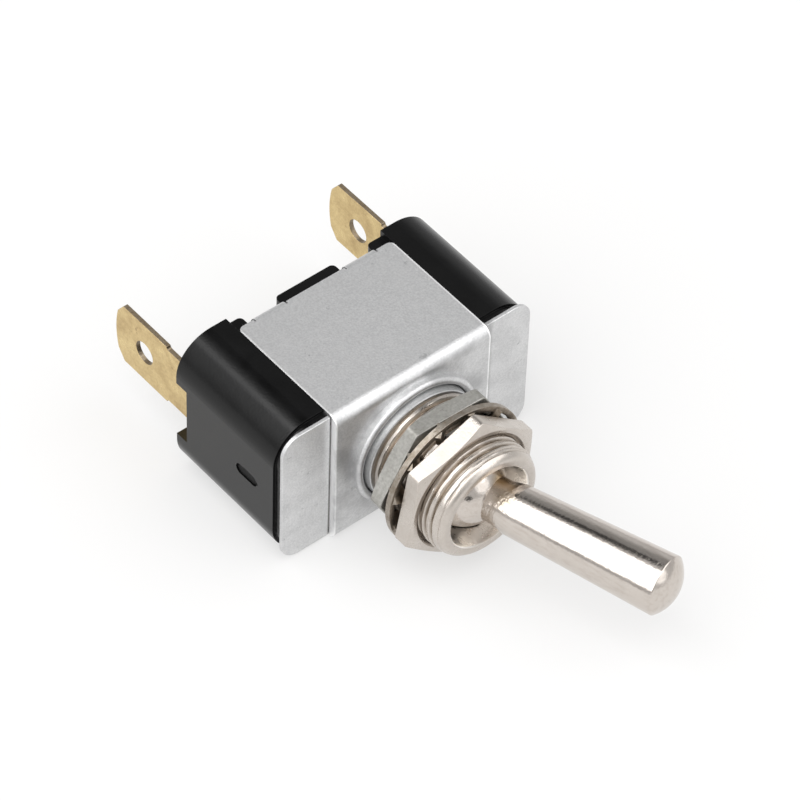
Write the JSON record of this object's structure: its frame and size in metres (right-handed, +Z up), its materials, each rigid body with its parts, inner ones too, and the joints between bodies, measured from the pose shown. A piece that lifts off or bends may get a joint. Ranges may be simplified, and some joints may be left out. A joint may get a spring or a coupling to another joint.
{
  "type": "panel toggle switch",
  "caption": "Toggle switch for a panel: round metal lever on a threaded bushing with two nuts and a toothed washer, steel strap and plate, moulded base and flat brass blade terminals.",
  "frame": {"origin": "on the bushing axis, at the face of the strap's boss where the thread starts", "axes": "-Y along the bushing towards the lever, X along the row of terminals, +Z up through the strap's upper flange"},
  "size_m": [0.0296, 0.0566, 0.0164],
  "materials": {
    "zinc_steel": "zinc plated, satin",
    "bright_nickel": "bright nickel plated",
    "dull_nickel": "dull plated",
    "phenolic": "moulded, semi-gloss black",
    "blade_brass": "stamped, slightly tarnished",
    "spring_bronze": "stamped",
    "contact_silver": "satin",
    "fibre": "pressed fibre",
    "nylon": "moulded"
  },
  "bodies": {
    "casing": {"base_housing": "phenolic", "cover_plate": "zinc_steel", "mounting_strap": "zinc_steel", "insulating_sheet": "fibre", "bushing": "bright_nickel", "back_nut": "dull_nickel", "rocker_pin": "dull_nickel", "rocker_cradle": "blade_brass", "cradle_rivet": "blade_brass", "fixed_contact": "contact_silver", "load_terminal": "blade_brass", "line_terminal": "blade_brass"},
    "lever": {"toggle_lever": "bright_nickel", "lever_pin": "dull_nickel"},
    "plunger_unit": {"plunger": "nylon", "plunger_spring": "dull_nickel"},
    "rocker_arm": {"rocker": "spring_bronze", "rocker_contact": "contact_silver"},
    "washer": {"lock_washer": "bright_nickel"},
    "clamp_nut": {"front_nut": "bright_nickel"}
  },
  "joints": [
    {"name": "lever_tilt", "type": "hinge", "parent": "casing", "child": "lever", "pos_m": [0, -0.0063, 0], "axis": [0, 0, 1], "range_deg": [-34.4, 0]},
    {"name": "plunger_slide", "type": "slide", "parent": "lever", "child": "plunger_unit", "axis": [-0.2957, 0.9553, 0], "range_m": [-0.0006, 0], "stiffness_N_per_m": 400, "springref_m": 0.004, "deforming": ["plunger_spring"]},
    {"name": "rocker_tilt", "type": "hinge", "parent": "casing", "child": "rocker_arm", "pos_m": [0, 0.0105, 0], "axis": [0, 0, 1], "range_deg": [0, 16]},
    {"name": "washer_travel", "type": "slide", "parent": "casing", "child": "washer", "axis": [0, -1, 0], "range_m": [0, 0.0016]},
    {"name": "nut_spin", "type": "hinge", "parent": "washer", "child": "clamp_nut", "pos_m": [0, -0.0065, 0], "axis": [0, -1, 0], "range_deg": [0, 720]}
  ],
  "couplings": [
    {"joint": "rocker_tilt", "follows": "lever_tilt", "ratio": -0.465},
    {"joint": "nut_spin", "follows": "washer_travel", "rad_per_m": 7853.9}
  ]
}
